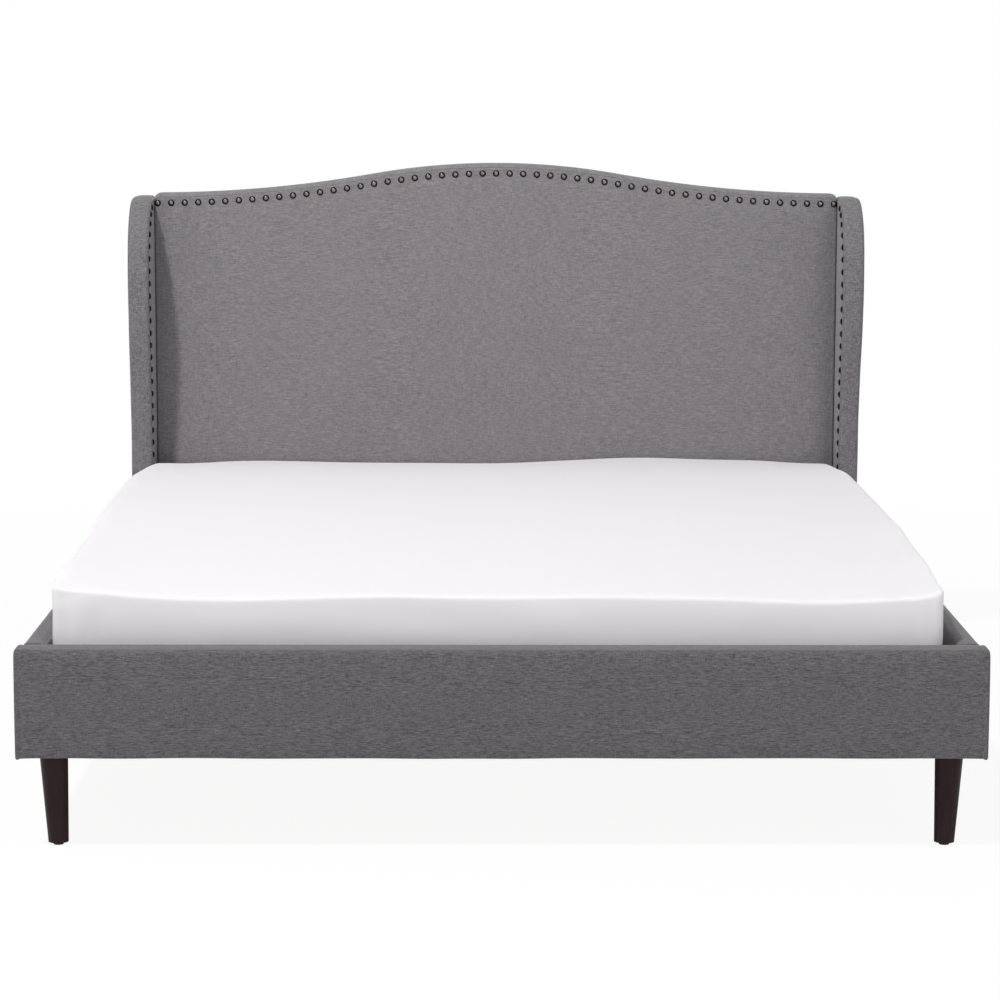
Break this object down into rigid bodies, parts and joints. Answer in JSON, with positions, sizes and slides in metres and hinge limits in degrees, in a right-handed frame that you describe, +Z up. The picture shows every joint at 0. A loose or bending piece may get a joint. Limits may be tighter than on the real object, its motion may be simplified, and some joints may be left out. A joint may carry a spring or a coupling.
{
  "type": "upholstered bed",
  "caption": "Double bed with a grey padded frame, a camel-backed headboard between two wings, domed nail trim, tapered round legs and a sheeted mattress.",
  "frame": {"origin": "on the floor, in the middle of the bed's length and width", "axes": "+Z up, +Y towards the headboard, +X to the right seen from the foot"},
  "size_m": [1.74, 2.161, 1.161],
  "materials": {
    "upholstery": "grey melange linen-look weave, matt",
    "sheet_cotton": "white cotton, matt",
    "mattress_ticking": "quilted white ticking",
    "upholstery_foam": "open-cell foam",
    "frame_timber": "planed pine",
    "plywood": "plywood",
    "back_cloth": "black non-woven lining",
    "slat_wood": "laminated birch",
    "black_plastic": "moulded, matt",
    "espresso_wood": "espresso stain, satin lacquer",
    "antique_brass": "antique, dark rims",
    "zinc_steel": "zinc plated"
  },
  "bodies": {
    "bed_frame": {"left_rail_cover": "upholstery", "right_rail_cover": "upholstery", "footboard_cover": "upholstery", "headboard_cover": "upholstery", "left_wing_cover": "upholstery", "right_wing_cover": "upholstery", "left_rail_foam": "upholstery_foam", "right_rail_foam": "upholstery_foam", "footboard_foam": "upholstery_foam", "headboard_foam": "upholstery_foam", "left_wing_foam": "upholstery_foam", "right_wing_foam": "upholstery_foam", "left_rail_core": "frame_timber", "right_rail_core": "frame_timber", "footboard_core": "frame_timber", "left_headboard_stile": "frame_timber", "right_headboard_stile": "frame_timber", "headboard_top_rail": "frame_timber", "headboard_bottom_rail": "frame_timber", "headboard_mid_stile": "frame_timber", "left_slat_ledge": "frame_timber", "right_slat_ledge": "frame_timber", "centre_beam": "frame_timber", "headboard_face_board": "plywood", "left_wing_board": "plywood", "right_wing_board": "plywood", "headboard_back_cloth": "back_cloth", "left_slats": "slat_wood", "right_slats": "slat_wood", "left_slat_holders": "black_plastic", "right_slat_holders": "black_plastic", "centre_slat_holders": "black_plastic", "leg_glides": "black_plastic", "front_left_leg": "espresso_wood", "front_right_leg": "espresso_wood", "rear_left_leg": "espresso_wood", "rear_right_leg": "espresso_wood", "centre_front_leg": "espresso_wood", "centre_rear_leg": "espresso_wood", "headboard_nails": "antique_brass", "left_wing_nails": "antique_brass", "right_wing_nails": "antique_brass", "ledge_screws": "zinc_steel", "beam_brackets": "zinc_steel", "bracket_screws": "zinc_steel", "leg_plates": "zinc_steel", "leg_bolts": "zinc_steel", "corner_brackets": "zinc_steel", "rail_joining_plates": "zinc_steel", "frame_bolts": "zinc_steel", "threaded_inserts": "zinc_steel"},
    "mattress": {"mattress": "mattress_ticking", "fitted_sheet": "sheet_cotton"}
  },
  "joints": [
    {"name": "mattress_lift", "type": "slide", "parent": "bed_frame", "child": "mattress", "axis": [0, 0, 1], "range_m": [0, 0.3]}
  ]
}
